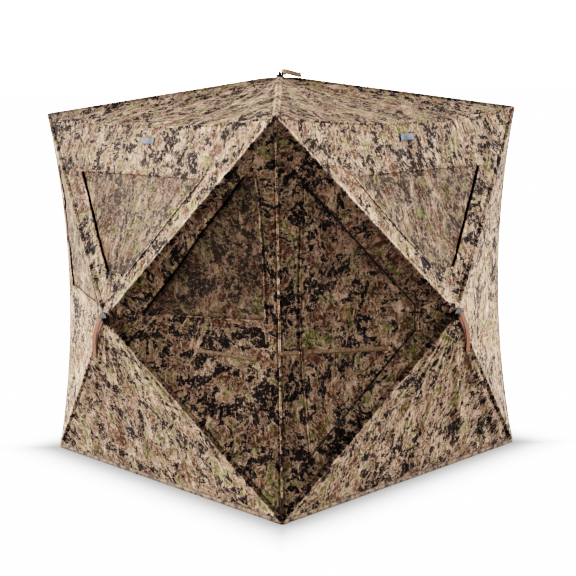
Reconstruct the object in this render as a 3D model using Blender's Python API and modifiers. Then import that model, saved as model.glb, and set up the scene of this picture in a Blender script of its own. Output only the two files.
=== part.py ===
"""Pop up ground blind: a square cloth shelter with four walls and a roof, each held out by a hub and four poles.

Every wall and the roof is a panel. A panel has a hub at its middle, four poles that swing on the
hub, and four flat cloth facets that fold on straight lines near the eaves, the corners and the
ground. Pushing the hub in swings the poles and facets through flat to their popped-in places.

Metres, +Z up, origin on the ground at the middle of the footprint. The front wall faces -Y.
"""

import math

import bmesh
import bpy
from mathutils import Matrix, Vector

# Footprint and height
BASE_HALF = 0.7354  # half a side at the ground
TOP_HALF = 0.7253  # half a side at the roof corners
CORNER_Z = 1.520  # height of the four roof corners
CORNER_BOW = 0.050  # how far a corner line draws in at mid height, in X and in Y
EAVE_SAG = 0.045  # how far an eave dips at mid span
HEM_HEIGHT = 0.025  # rolled tape along the ground
HEM_WIDTH = 0.012

# Wall panels: the four fold lines of a wall are a rectangle in one upright plane
WALL_FOLD_OUT = 0.7579  # fold plane to the middle of the blind
WALL_HUB_Z = 0.7336
WALL_FOLD_HALF = 0.650
WALL_FOLD_LOW = -0.6529  # from the hub's height
WALL_FOLD_HIGH = 0.7000
WALL_BULGE = 0.2255  # hub point to the fold plane

# Roof panel
ROOF_FOLD_Z = 1.5365
ROOF_FOLD_HALF = 0.6455
ROOF_BULGE = 0.1335

# Cloth
CLOTH = 0.002
FOLD_GAP = 0.0025  # cloth edge to its fold line, on both sides
SEAM_GAP_CORNER = 0.0015  # facet edge to the ridge line at the corner
SEAM_GAP_HUB = 0.035  # and at the hub, so that facets pass each other when flat
HUB_CLEAR = 0.105  # facet tip to the hub's centre line
EDGE_STEPS = 8  # steps along each side of the corner and eave cloth

# Poles and hubs
POLE_RADIUS = 0.0055
POLE_BEHIND = 0.016  # pole centre line to the cloth's ridge line
POLE_PAST_FOLD = -0.010  # pole tip past the fold corner; below 0 it stops short
PIVOT_OUT = 0.034  # pole pivot to the hub's centre line
EYE_RADIUS = 0.0075
EYE_HALF_WIDTH = 0.0052
PIN_RADIUS = 0.0020
PIN_HOLE_RADIUS = 0.0025
PRONG_INNER = 0.0060
PRONG_OUTER = 0.0105
PRONG_LENGTH = 0.044
HUB_HALF_DEPTH = 0.010

# Pull straps
BAR_OUT = 0.015  # strap bar to the cloth's hub point
BAR_RADIUS = 0.0022
STRAP_WIDTH = 0.025
STRAP_THICK = 0.003
WALL_STRAP_LENGTH = 0.150
WALL_STRAP_TILT = math.radians(18)
ROOF_STRAP_LENGTH = 0.095
ROOF_STRAP_TILT = math.radians(6)
ROOF_STRAP_TURN = math.radians(135)  # the roof strap lies towards +X, +Y

# Windows, in each panel's own across and up coordinates from the hub
TOP_WINDOW = ((-0.060, 0.175), (0.060, 0.175), (0.385, 0.555), (-0.385, 0.555))
SIDE_WINDOW = ((0.150, 0.030), (0.628, 0.030), (0.628, 0.572), (0.588, 0.572))
FLAP_LAP = 0.013  # a cover is wider than its window by this much
FLAP_BEHIND = 0.0040  # cover's middle plane to the facet's middle plane

# Door, on the left facet of the right wall
DOOR_HINGE = 0.603  # hinge line, across from the hub
DOOR_TIP = 0.165
DOOR_TIP_HALF = 0.050
DOOR_TOP = 0.535
DOOR_BOTTOM = -0.490
DOOR_GAP = 0.0015  # zip gap on each side of its line

WALLS = {"front": -90, "right": 0, "back": 90, "left": 180}  # the way each wall faces, in degrees
WINDOWS = {
    "front": ("top", "left", "right"),
    "right": ("top",),
    "back": ("top",),
    "left": ("top",),
}


class Panel:
    """One wall or the roof: a fold rectangle, a hub point over its origin, and across, up and out axes."""

    def __init__(self, name, origin, across, up, rect, bulge):
        self.name = name
        self.origin = Vector(origin)
        self.across = Vector(across)
        self.up = Vector(up)
        self.out = self.across.cross(self.up)
        self.rect = rect
        self.bulge = bulge

    def at(self, u, v, w=0.0):
        """A point of the panel, in world coordinates."""
        return self.origin + u * self.across + v * self.up + w * self.out

    def frame(self, origin, x_axis, z_axis):
        """A placement whose X and Z axes are given in the panel's own axes."""
        x = (self.at(*x_axis) - self.origin).normalized()
        z = (self.at(*z_axis) - self.origin).normalized()
        y = z.cross(x)
        turn = Matrix((x, y, z)).transposed()
        return Matrix.Translation(self.at(*origin)) @ turn.to_4x4()

    def corners(self):
        """The fold rectangle's corners by name."""
        u0, u1, v0, v1 = self.rect
        return {"bl": (u0, v0), "br": (u1, v0), "tr": (u1, v1), "tl": (u0, v1)}


def make_panels():
    """The four walls and the roof."""
    panels = {}
    rect = (-WALL_FOLD_HALF, WALL_FOLD_HALF, WALL_FOLD_LOW, WALL_FOLD_HIGH)
    for name, degrees in WALLS.items():
        out = Vector((round(math.cos(math.radians(degrees))), round(math.sin(math.radians(degrees))), 0))
        across = Vector((0, 0, 1)).cross(out)
        origin = out * WALL_FOLD_OUT + Vector((0, 0, WALL_HUB_Z))
        panels[name] = Panel(name, origin, across, (0, 0, 1), rect, WALL_BULGE)
    half = ROOF_FOLD_HALF
    panels["roof"] = Panel("roof", (0, 0, ROOF_FOLD_Z), (1, 0, 0), (0, 1, 0), (-half, half, -half, half), ROOF_BULGE)
    return panels


def clear_scene():
    """Empties the file."""
    for obj in list(bpy.data.objects):
        bpy.data.objects.remove(obj, do_unlink=True)


def collection(name, hidden=False):
    """A collection in the scene."""
    made = bpy.data.collections.new(name)
    made.hide_render = hidden
    bpy.context.scene.collection.children.link(made)
    return made


def material(name, colour, roughness, metallic=0.0):
    """A Principled material."""
    made = bpy.data.materials.new(name)
    made.use_nodes = True
    shader = made.node_tree.nodes["Principled BSDF"]
    shader.inputs["Base Color"].default_value = (*colour, 1.0)
    shader.inputs["Roughness"].default_value = roughness
    shader.inputs["Metallic"].default_value = metallic
    made.diffuse_color = (*colour, 1.0)
    return made


def add_object(name, data, where, mat, group):
    """An object placed by a matrix, with one material."""
    obj = bpy.data.objects.new(name, data)
    obj.matrix_world = where
    if not data.materials:
        data.materials.append(mat)
    group.objects.link(obj)
    return obj


def outline_curve(name, outlines, half_thickness):
    """A flat curve with its holes, extruded both ways."""
    curve = bpy.data.curves.new(name, "CURVE")
    curve.dimensions = "2D"
    curve.fill_mode = "BOTH"
    curve.extrude = half_thickness
    for outline in outlines:
        spline = curve.splines.new("POLY")
        spline.points.add(len(outline) - 1)
        for point, (x, y) in zip(spline.points, outline):
            point.co = (x, y, 0, 1)
        spline.use_cyclic_u = True
    return curve


def as_mesh(obj):
    """The object's evaluated mesh, with its loose caps welded."""
    graph = bpy.context.evaluated_depsgraph_get()
    mesh = bpy.data.meshes.new_from_object(obj.evaluated_get(graph))
    bm = bmesh.new()
    bm.from_mesh(mesh)
    bmesh.ops.remove_doubles(bm, verts=bm.verts, dist=1e-6)
    bm.to_mesh(mesh)
    bm.free()
    return mesh


def helper(name, mesh, where, group):
    """A hidden solid that a Boolean uses."""
    obj = bpy.data.objects.new(name, mesh)
    obj.matrix_world = where
    obj.hide_render = True
    obj.display_type = "WIRE"
    group.objects.link(obj)
    return obj


def cylinder_mesh(name, radius, length, sides):
    """A closed cylinder along Z, centred."""
    mesh = bpy.data.meshes.new(name)
    bm = bmesh.new()
    bmesh.ops.create_cone(
        bm, cap_ends=True, segments=sides, radius1=radius, radius2=radius, depth=length
    )
    bm.to_mesh(mesh)
    bm.free()
    return mesh


def box_mesh(name, size):
    """A closed box, centred."""
    mesh = bpy.data.meshes.new(name)
    bm = bmesh.new()
    bmesh.ops.create_cube(bm, size=1.0)
    bmesh.ops.scale(bm, vec=size, verts=bm.verts)
    bm.to_mesh(mesh)
    bm.free()
    return mesh


def boolean(obj, other, operation):
    """Adds an exact Boolean to an object."""
    modifier = obj.modifiers.new(operation.title(), "BOOLEAN")
    modifier.operation = operation
    modifier.solver = "EXACT"
    modifier.object = other


def ridge(panel, key):
    """Length and unit direction, in the panel's plane, from the hub's foot to a fold corner."""
    u, v = panel.corners()[key]
    length = math.hypot(u, v)
    return length, (u / length, v / length)


def pole_pivot(panel, key):
    """Where a pole's pin sits on the hub, and the pole's slope."""
    length, (du, dv) = ridge(panel, key)
    slope = math.atan2(panel.bulge, length)
    out = panel.bulge - PIVOT_OUT * math.tan(slope) - POLE_BEHIND / math.cos(slope)
    return (PIVOT_OUT * du, PIVOT_OUT * dv, out), slope


# Cloth along the corners, eaves and ground


def corner_half(z):
    """Half a side at a height, with the drawn-in corner line."""
    s = z / CORNER_Z
    return BASE_HALF + (TOP_HALF - BASE_HALF) * s - CORNER_BOW * 4 * s * (1 - s)


def eave_height(share):
    """Height of an eave, share being -1 and 1 at its ends."""
    return CORNER_Z - EAVE_SAG * (1 - share * share)


def side_points(start, end, place):
    """Points along one side, without its last one."""
    found = []
    for i in range(EDGE_STEPS):
        s = i / EDGE_STEPS
        found.append(place(start + (end - start) * s))
    return found


def wall_rings(panel):
    """The outer and inner edge loops of a wall's cloth border."""
    foot = HEM_HEIGHT + 0.0005
    base = corner_half(foot)

    def local(u, z, n):
        return panel.at(u, z - WALL_HUB_Z, n - WALL_FOLD_OUT)

    outer = side_points(-1, 1, lambda s: local(s * base, foot, base))
    outer += side_points(foot, CORNER_Z, lambda z: local(corner_half(z), z, corner_half(z)))
    outer += side_points(1, -1, lambda s: local(s * TOP_HALF, eave_height(s), TOP_HALF))
    outer += side_points(CORNER_Z, foot, lambda z: local(-corner_half(z), z, corner_half(z)))
    return outer, fold_ring(panel)


def fold_ring(panel):
    """The border's inner edge, just outside the fold lines."""
    u0, u1, v0, v1 = panel.rect
    u0, v0 = u0 - FOLD_GAP, v0 - FOLD_GAP
    u1, v1 = u1 + FOLD_GAP, v1 + FOLD_GAP
    ring = side_points(u0, u1, lambda u: panel.at(u, v0))
    ring += side_points(v0, v1, lambda v: panel.at(u1, v))
    ring += side_points(u1, u0, lambda u: panel.at(u, v1))
    ring += side_points(v1, v0, lambda v: panel.at(u0, v))
    return ring


def roof_rings(panel):
    """The outer and inner edge loops of the roof's cloth border."""
    t = TOP_HALF

    def local(x, y, s):
        return panel.at(x, y, eave_height(s) - ROOF_FOLD_Z)

    outer = side_points(-1, 1, lambda s: local(s * t, -t, s))
    outer += side_points(-1, 1, lambda s: local(t, s * t, s))
    outer += side_points(1, -1, lambda s: local(s * t, t, s))
    outer += side_points(1, -1, lambda s: local(-t, s * t, s))
    return outer, fold_ring(panel)


def loft(bm, outer, inner):
    """Joins two closed loops with the same number of points by a strip of faces."""
    a = [bm.verts.new(p) for p in outer]
    b = [bm.verts.new(p) for p in inner]
    count = len(a)
    for i in range(count):
        j = (i + 1) % count
        bm.faces.new((a[i], a[j], b[j], b[i]))


def make_border(panels, mat, group):
    """The cloth that stays put: corner strips, eaves and the foot of each wall, as one skin."""
    bm = bmesh.new()
    for name in WALLS:
        loft(bm, *wall_rings(panels[name]))
    loft(bm, *roof_rings(panels["roof"]))
    bmesh.ops.remove_doubles(bm, verts=bm.verts, dist=1e-5)
    mesh = bpy.data.meshes.new("fabric_border")
    bm.to_mesh(mesh)
    bm.free()
    obj = add_object("fabric_border", mesh, Matrix.Identity(4), mat, group)
    solidify = obj.modifiers.new("Cloth", "SOLIDIFY")
    solidify.thickness = CLOTH
    solidify.offset = -1
    return obj


def make_hem(mat, group):
    """The rolled tape that the blind stands on."""
    outlines = []
    for half in (BASE_HALF + HEM_WIDTH / 2, BASE_HALF - HEM_WIDTH / 2):
        outlines.append([(-half, -half), (half, -half), (half, half), (-half, half)])
    curve = outline_curve("ground_hem", outlines, HEM_HEIGHT / 2)
    return add_object("ground_hem", curve, Matrix.Translation((0, 0, HEM_HEIGHT / 2)), mat, group)


# Cloth facets


def facet_frame(panel, side):
    """A facet's placement: X along its fold line, Y in the facet towards the hub, Z outwards.

    It also gives the fold line's ends in X, the facet's height to the hub point, and a function
    that takes the panel's across and up coordinates onto the facet.
    """
    u0, u1, v0, v1 = panel.rect
    mid, inward, ends, deep = {
        "top": ((0, v1), (0, -1), (u0, u1), v1),
        "bottom": ((0, v0), (0, 1), (u0, u1), -v0),
        "left": ((u0, 0), (1, 0), (v0, v1), -u0),
        "right": ((u1, 0), (-1, 0), (v0, v1), u1),
    }[side]
    tall = math.hypot(deep, panel.bulge)
    towards = (inward[0] * deep / tall, inward[1] * deep / tall, panel.bulge / tall)
    along = (inward[1], -inward[0], 0)
    out = (-inward[0] * panel.bulge / tall, -inward[1] * panel.bulge / tall, deep / tall)
    where = panel.frame((*mid, 0), along, out)
    sign = along[0] + along[1]
    low, high = sorted(sign * end for end in ends)

    def flat(u, v):
        x = (u - mid[0]) * along[0] + (v - mid[1]) * along[1]
        y = (u - mid[0]) * inward[0] + (v - mid[1]) * inward[1]
        return x, y * tall / deep

    assert abs((Vector(towards) - Vector(towards).normalized()).length) < 1e-9
    return where, (low, high), tall, flat


def facet_outline(ends, tall, panel_deep):
    """A facet's outline: the fold line, two seams that open towards the hub, and a cut tip."""
    top = tall * (1 - HUB_CLEAR / panel_deep)
    outline = []
    for end in ends:
        stretch = math.hypot(tall, end) / tall
        for y in (FOLD_GAP, top):
            share = y / tall
            gap = (SEAM_GAP_CORNER + (SEAM_GAP_HUB - SEAM_GAP_CORNER) * share) * stretch
            edge = end * (1 - share)
            outline.append((edge - math.copysign(gap, end), y))
    low_base, low_top, high_base, high_top = outline
    return [low_base, high_base, high_top, low_top]


def window_outline(side):
    """A window in the panel's across and up coordinates."""
    if side == "top":
        return TOP_WINDOW
    if side == "right":
        return SIDE_WINDOW
    return tuple((-u, v) for u, v in reversed(SIDE_WINDOW))


def grown(outline, by):
    """An outline moved out by a distance along every edge."""
    area = 0.0
    count = len(outline)
    for i in range(count):
        (x0, y0), (x1, y1) = outline[i], outline[(i + 1) % count]
        area += x0 * y1 - x1 * y0
    turn = 1 if area > 0 else -1
    moved = []
    for i in range(count):
        before, here, after = (Vector(outline[(i + k) % count]) for k in (-1, 0, 1))
        n1 = (here - before).normalized()
        n2 = (after - here).normalized()
        n1 = Vector((n1.y, -n1.x)) * turn
        n2 = Vector((n2.y, -n2.x)) * turn
        moved.append(here + (n1 + n2) * (by / (1 + n1.dot(n2))))
    return [tuple(p) for p in moved]


def door_outline():
    """The door on the left facet, in the wall's across and up coordinates."""
    return (
        (-DOOR_HINGE, DOOR_BOTTOM),
        (-DOOR_TIP, -DOOR_TIP_HALF),
        (-DOOR_TIP, DOOR_TIP_HALF),
        (-DOOR_HINGE, DOOR_TOP),
    )


def make_facets(panel, mat, group):
    """The four cloth facets of a panel, with their windows and door cut out."""
    for side in ("top", "bottom", "left", "right"):
        where, ends, tall, flat = facet_frame(panel, side)
        deep = math.sqrt(tall * tall - panel.bulge * panel.bulge)
        outlines = [facet_outline(ends, tall, deep)]
        if side in WINDOWS.get(panel.name, ()):
            outlines.append([flat(u, v) for u, v in window_outline(side)])
        if (panel.name, side) == ("right", "left"):
            door = [flat(u, v) for u, v in door_outline()]
            outlines.append(grown(door, DOOR_GAP))
        name = f"{panel.name}_facet_{side}"
        curve = outline_curve(name, outlines, CLOTH / 2)
        add_object(name, curve, where, mat, group)


def make_window_covers(panel, mat, group):
    """A cover behind each window, with its origin on the sewn lower edge that it folds on."""
    for side in WINDOWS[panel.name]:
        where, _, _, flat = facet_frame(panel, side)
        outline = grown([flat(u, v) for u, v in window_outline(side)], FLAP_LAP)
        low_edge = [Vector(flat(u, v)) for u, v in window_outline(side)[:2]]
        if side == "left":
            low_edge = [Vector(flat(u, v)) for u, v in window_outline(side)[-2:]]
        middle = (low_edge[0] + low_edge[1]) / 2
        across = (low_edge[1] - low_edge[0]).normalized()
        inner = Vector((sum(p[0] for p in outline), sum(p[1] for p in outline))) / len(outline)
        away = Vector((-across.y, across.x))
        if (inner - middle).dot(away) < 0:
            away = -away
        pivot = middle - away * (FLAP_LAP + 0.002)
        shifted = [(x - pivot.x, y - pivot.y) for x, y in outline]
        name = f"{panel.name}_window_{side}"
        curve = outline_curve(name, [shifted], CLOTH / 2)
        place = where @ Matrix.Translation((pivot.x, pivot.y, -FLAP_BEHIND))
        add_object(name, curve, place, mat, group)


def make_door(panel, cloth, metal, group):
    """The zipped door flap, with its origin on its hinge line, and the zip's slider."""
    where, _, _, flat = facet_frame(panel, "left")
    outline = grown([flat(u, v) for u, v in door_outline()], -DOOR_GAP)
    pivot = Vector(flat(-DOOR_HINGE, 0))
    shifted = [(x - pivot.x, y - pivot.y) for x, y in outline]
    curve = outline_curve("door_flap", [shifted], CLOTH / 2)
    add_object("door_flap", curve, where @ Matrix.Translation((*pivot, 0)), cloth, group)

    start = Vector(flat(-DOOR_TIP, DOOR_TIP_HALF))
    end = Vector(flat(-DOOR_HINGE, DOOR_TOP))
    along = (end - start).normalized()
    beside = Vector((-along.y, along.x))
    door_middle = Vector(flat(-0.4, 0))
    if (door_middle - start).dot(beside) > 0:
        beside = -beside
    centre = start + along * 0.030 + beside * 0.012
    turn = Matrix.Rotation(math.atan2(along.y, along.x), 4, "Z")
    place = where @ Matrix.Translation((*centre, CLOTH / 2 + 0.0005 + 0.0025)) @ turn
    slider = add_object("door_slider", box_mesh("door_slider", (0.030, 0.010, 0.005)), place, metal, group)
    bevel = slider.modifiers.new("Rounded", "BEVEL")
    bevel.width = 0.0015
    bevel.segments = 2


# Poles, hubs and straps


def make_pole_mesh(name, length, helpers):
    """A rod along +X from its pin at the origin, with a flat-sided eye."""
    rod = cylinder_mesh(name + "_rod", POLE_RADIUS, length - 0.004, 12)
    rod.transform(Matrix.Translation(((length + 0.004) / 2, 0, 0)) @ Matrix.Rotation(math.pi / 2, 4, "Y"))
    eye = cylinder_mesh(name + "_eye", EYE_RADIUS, EYE_HALF_WIDTH * 2, 20)
    eye.transform(Matrix.Rotation(math.pi / 2, 4, "X"))
    hole = cylinder_mesh(name + "_hole", PIN_HOLE_RADIUS, EYE_HALF_WIDTH * 4, 16)
    hole.transform(Matrix.Rotation(math.pi / 2, 4, "X"))
    clip = box_mesh(name + "_clip", (2 * length, EYE_HALF_WIDTH * 2, 0.05))
    clip.transform(Matrix.Translation((PRONG_LENGTH - PIVOT_OUT + 0.003 - length, 0, 0)))
    base = helper(name + "_base", eye, Matrix.Identity(4), helpers)
    boolean(base, helper(name + "_union", rod, Matrix.Identity(4), helpers), "UNION")
    boolean(base, helper(name + "_pin", hole, Matrix.Identity(4), helpers), "DIFFERENCE")
    return as_mesh(base)


def make_hub_mesh(panel, strap_turn, helpers):
    """A four-way hub: a forked cross, a pin in each fork, and a strap bar on its outer side."""
    name = f"{panel.name}_hub"
    outline = []
    order = sorted(("bl", "br", "tr", "tl"), key=lambda k: math.atan2(*reversed(ridge(panel, k)[1])))
    prong = (
        (0.0175, -PRONG_OUTER),
        (PRONG_LENGTH, -PRONG_OUTER),
        (PRONG_LENGTH, -PRONG_INNER),
        (0.0230, -PRONG_INNER),
        (0.0230, PRONG_INNER),
        (PRONG_LENGTH, PRONG_INNER),
        (PRONG_LENGTH, PRONG_OUTER),
        (0.0175, PRONG_OUTER),
    )
    for key in order:
        _, (du, dv) = ridge(panel, key)
        for x, y in prong:
            outline.append((x * du - y * dv, x * dv + y * du))
    depth = pole_pivot(panel, "tr")[0][2]
    cross = helper(name + "_cross", outline_curve(name, [outline], HUB_HALF_DEPTH), Matrix.Identity(4), helpers)
    base = helper(name + "_base", as_mesh(cross), Matrix.Translation((0, 0, depth)), helpers)
    bpy.data.objects.remove(cross, do_unlink=True)
    for key in order:
        (pu, pv, pw), _ = pole_pivot(panel, key)
        _, (du, dv) = ridge(panel, key)
        pin = cylinder_mesh(name + "_pin", PIN_RADIUS, 2 * PRONG_OUTER - 0.001, 16)
        pin.transform(Matrix.Rotation(math.pi / 2, 4, "X"))
        where = Matrix.Translation((pu, pv, pw)) @ Matrix.Rotation(math.atan2(dv, du), 4, "Z")
        boolean(base, helper(f"{name}_pin_{key}", pin, where, helpers), "UNION")
    neck_low = depth + HUB_HALF_DEPTH - 0.004
    neck_high = panel.bulge + 0.005
    neck = cylinder_mesh(name + "_neck", 0.0165, neck_high - neck_low, 24)
    where = Matrix.Translation((0, 0, (neck_low + neck_high) / 2))
    boolean(base, helper(name + "_neck", neck, where, helpers), "UNION")
    cap = cylinder_mesh(name + "_cap", 0.026, 0.005, 32)
    where = Matrix.Translation((0, 0, neck_high + 0.0015))
    boolean(base, helper(name + "_cap", cap, where, helpers), "UNION")
    spin = Matrix.Rotation(strap_turn, 4, "Z")
    bar_out = panel.bulge + BAR_OUT
    for sign in (-1, 1):
        lug = box_mesh(name + "_lug", (0.004, 0.010, BAR_OUT))
        place = spin @ Matrix.Translation((sign * (STRAP_WIDTH / 2 + 0.004), 0, panel.bulge + BAR_OUT / 2 + 0.0055))
        boolean(base, helper(f"{name}_lug_{sign}", lug, place, helpers), "UNION")
    bar = cylinder_mesh(name + "_bar", BAR_RADIUS, STRAP_WIDTH + 0.010, 16)
    bar.transform(Matrix.Rotation(math.pi / 2, 4, "Y"))
    boolean(base, helper(name + "_bar", bar, spin @ Matrix.Translation((0, 0, bar_out)), helpers), "UNION")
    mesh = as_mesh(base)
    mesh.transform(Matrix.Translation((0, 0, depth)))
    return mesh


def make_strap_mesh(name, length, helpers):
    """A webbing strap along -Y from its bar at the origin, with a rounded free end."""
    eye = cylinder_mesh(name + "_eye", 0.0052, STRAP_WIDTH, 20)
    eye.transform(Matrix.Rotation(math.pi / 2, 4, "Y"))
    half = STRAP_WIDTH / 2
    outline = [(-half, -0.003), (-half, half - length)]
    for i in range(1, 8):
        angle = math.pi + math.pi * i / 8
        outline.append((half * math.cos(angle), half - length + half * math.sin(angle)))
    outline += [(half, half - length), (half, -0.003)]
    web = helper(name + "_web_curve", outline_curve(name, [outline], STRAP_THICK / 2), Matrix.Identity(4), helpers)
    web_mesh = as_mesh(web)
    bpy.data.objects.remove(web, do_unlink=True)
    hole = cylinder_mesh(name + "_hole", BAR_RADIUS + 0.0006, STRAP_WIDTH * 2, 16)
    hole.transform(Matrix.Rotation(math.pi / 2, 4, "Y"))
    base = helper(name + "_base", eye, Matrix.Identity(4), helpers)
    boolean(base, helper(name + "_web", web_mesh, Matrix.Identity(4), helpers), "UNION")
    boolean(base, helper(name + "_cut", hole, Matrix.Identity(4), helpers), "DIFFERENCE")
    return as_mesh(base)


def pole_length(panel, key):
    """From the pin to the tip, along the pole."""
    length, _ = ridge(panel, key)
    slope = pole_pivot(panel, key)[1]
    return (length + POLE_PAST_FOLD - PIVOT_OUT) / math.cos(slope)


def make_poles(panel, mat, group, helpers, meshes):
    """The four poles of a panel, each with its origin on its pin."""
    for key in ("bl", "br", "tr", "tl"):
        length = pole_length(panel, key)
        kind = "roof" if panel.name == "roof" else ("low" if key[0] == "b" else "high")
        if kind not in meshes:
            meshes[kind] = make_pole_mesh(f"pole_{kind}", length, helpers)
        pivot, slope = pole_pivot(panel, key)
        _, (du, dv) = ridge(panel, key)
        along = (du * math.cos(slope), dv * math.cos(slope), -math.sin(slope))
        out = (du * math.sin(slope), dv * math.sin(slope), math.cos(slope))
        where = panel.frame(pivot, along, out)
        add_object(f"{panel.name}_pole_{key}", meshes[kind], where, mat, group)


def make_hub(panel, mat, group, helpers, meshes):
    """The panel's hub."""
    turn = ROOF_STRAP_TURN if panel.name == "roof" else 0.0
    kind = "roof" if panel.name == "roof" else "wall"
    if kind not in meshes:
        meshes[kind] = make_hub_mesh(panel, turn, helpers)
    where = panel.frame((0, 0, 0), (1, 0, 0), (0, 0, 1))
    add_object(f"{panel.name}_hub", meshes[kind], where, mat, group)


def make_strap(panel, mat, group, helpers, meshes):
    """The panel's pull strap, with its origin on the hub's bar."""
    roof = panel.name == "roof"
    kind = "roof" if roof else "wall"
    if kind not in meshes:
        length = ROOF_STRAP_LENGTH if roof else WALL_STRAP_LENGTH
        meshes[kind] = make_strap_mesh(f"strap_{kind}", length, helpers)
    tilt = ROOF_STRAP_TILT if roof else WALL_STRAP_TILT
    turn = Matrix.Rotation(ROOF_STRAP_TURN if roof else 0.0, 4, "Z")
    where = panel.frame((0, 0, panel.bulge + BAR_OUT), (1, 0, 0), (0, 0, 1))
    place = where @ turn @ Matrix.Rotation(-tilt, 4, "X")
    add_object(f"{panel.name}_strap", meshes[kind], place, mat, group)


def main():
    clear_scene()
    parts = collection("pop_up_ground_blind")
    helpers = collection("helpers", hidden=True)
    cloth = material("camouflage_cloth", (0.42, 0.33, 0.25), 0.9)
    cover = material("window_cover_cloth", (0.33, 0.27, 0.21), 0.9)
    door_cloth = material("door_cloth", (0.45, 0.35, 0.27), 0.9)
    tape = material("hem_tape", (0.62, 0.46, 0.33), 0.85)
    rod = material("fibreglass_rod", (0.05, 0.05, 0.05), 0.45)
    plastic = material("hub_plastic", (0.03, 0.03, 0.03), 0.5)
    webbing = material("brown_webbing", (0.22, 0.10, 0.05), 0.75)
    pale_webbing = material("tan_webbing", (0.72, 0.45, 0.28), 0.8)
    metal = material("slider_metal", (0.08, 0.08, 0.08), 0.4, 0.8)

    panels = make_panels()
    make_border(panels, cloth, parts)
    make_hem(tape, parts)
    pole_meshes = {}
    hub_meshes = {}
    strap_meshes = {}
    for name, panel in panels.items():
        make_facets(panel, cloth, parts)
        make_poles(panel, rod, parts, helpers, pole_meshes)
        make_hub(panel, plastic, parts, helpers, hub_meshes)
        make_strap(panel, pale_webbing if name == "roof" else webbing, parts, helpers, strap_meshes)
        if name in WINDOWS:
            make_window_covers(panel, cover, parts)
    make_door(panels["right"], door_cloth, metal, parts)
    for obj in parts.objects:
        if obj.type == "MESH":
            obj.data.shade_smooth()
            obj.data.set_sharp_from_angle(angle=math.radians(35))


if __name__ == "__main__":
    main()
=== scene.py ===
"""Pop up ground blind: the cloth, webbing, zip and trim over the moving model, and its stage."""

import math

import bmesh
import bpy
from mathutils import Matrix, Vector, noise


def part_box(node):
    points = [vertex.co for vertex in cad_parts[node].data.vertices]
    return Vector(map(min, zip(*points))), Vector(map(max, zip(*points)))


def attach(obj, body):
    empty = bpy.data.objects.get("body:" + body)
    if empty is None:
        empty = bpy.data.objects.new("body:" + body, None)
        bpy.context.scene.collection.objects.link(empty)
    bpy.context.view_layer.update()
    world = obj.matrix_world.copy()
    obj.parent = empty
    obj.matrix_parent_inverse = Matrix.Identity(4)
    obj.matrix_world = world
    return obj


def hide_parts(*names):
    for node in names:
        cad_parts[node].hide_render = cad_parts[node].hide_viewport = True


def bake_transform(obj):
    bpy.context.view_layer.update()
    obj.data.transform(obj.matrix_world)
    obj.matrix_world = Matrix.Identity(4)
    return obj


bl_info = {
    "name": "Pop Up Ground Blind",
    "version": (1, 0, 0),
    "blender": (4, 5, 0),
    "location": "View3D > Sidebar > Ground Blind",
    "description": "Dresses the moving model of a hub blind with its cloth, webbing and trim",
    "category": "Object",
}

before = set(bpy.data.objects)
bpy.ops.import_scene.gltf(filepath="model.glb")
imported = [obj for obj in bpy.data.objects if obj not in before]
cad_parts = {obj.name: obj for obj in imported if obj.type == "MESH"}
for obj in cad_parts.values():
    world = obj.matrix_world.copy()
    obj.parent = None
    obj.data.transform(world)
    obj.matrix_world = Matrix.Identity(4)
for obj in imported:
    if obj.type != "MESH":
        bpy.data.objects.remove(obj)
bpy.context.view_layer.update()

# Shape of the pitched blind, in metres, the same as the model's
BASE_HALF = 0.7354
TOP_HALF = 0.7253
CORNER_Z = 1.520
CORNER_BOW = 0.050
EAVE_SAG = 0.045
FOOT = 0.012
HUB_Z = 0.7336
WALL_APEX = 0.9834
ROOF_APEX = 1.670
BAR_OUT = 0.015
WALL_STRAP_TILT = math.radians(18)
ROOF_STRAP_TILT = math.radians(6)
WALL_FACING = {"front": -90, "right": 0, "back": 90, "left": 180}
SIDES = ("top", "bottom", "left", "right")
TOP_WINDOW = ((-0.060, 0.175), (0.060, 0.175), (0.385, 0.555), (-0.385, 0.555))
SIDE_WINDOW = ((0.150, 0.030), (0.628, 0.030), (0.628, 0.572), (0.588, 0.572))
DOOR = ((-0.603, -0.490), (-0.165, -0.050), (-0.165, 0.050), (-0.603, 0.535))
WINDOWS = {
    "front": ("top", "left", "right"),
    "right": ("top",),
    "back": ("top",),
    "left": ("top",),
}
COVER_BEHIND = 0.0045
COVER_OVERLAP = 0.012
COVER_TUCKED = (0.0, COVER_OVERLAP, COVER_OVERLAP, COVER_OVERLAP)
# how far each edge of a cover reaches past its window; one edge of these hangs a little open
COVER_EDGES = {
    ("front", "top"): (0.0, COVER_OVERLAP, COVER_OVERLAP, -0.006),
    ("front", "left"): (COVER_OVERLAP, -0.006, 0.0, COVER_OVERLAP),
    ("front", "right"): (0.0, COVER_OVERLAP, COVER_OVERLAP, -0.004),
    ("right", "top"): (0.0, -0.006, COVER_OVERLAP, COVER_OVERLAP),
}
CLOTH_FROM = 0.040  # share of the way from the hub to the edge where the cloth begins
SEAM_FROM = 0.030
SEWN_IN = 1.01  # cut area against the area that shows
BAR_HALF_TURN = 0.04  # share of a strap's length that goes round the bar


def smooth(x, low, high):
    """0 below low, 1 above high, and eased between them."""
    t = min(max((x - low) / (high - low), 0.0), 1.0)
    return t * t * (3 - 2 * t)


def half_side(z):
    """Half a side at a height, with the drawn-in corner line."""
    s = z / CORNER_Z
    return BASE_HALF + (TOP_HALF - BASE_HALF) * s - CORNER_BOW * 4 * s * (1 - s)


def eave_height(x):
    """Height of an eave at a distance from its middle."""
    share = x / TOP_HALF
    return CORNER_Z - EAVE_SAG * (1 - share * share)


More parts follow.
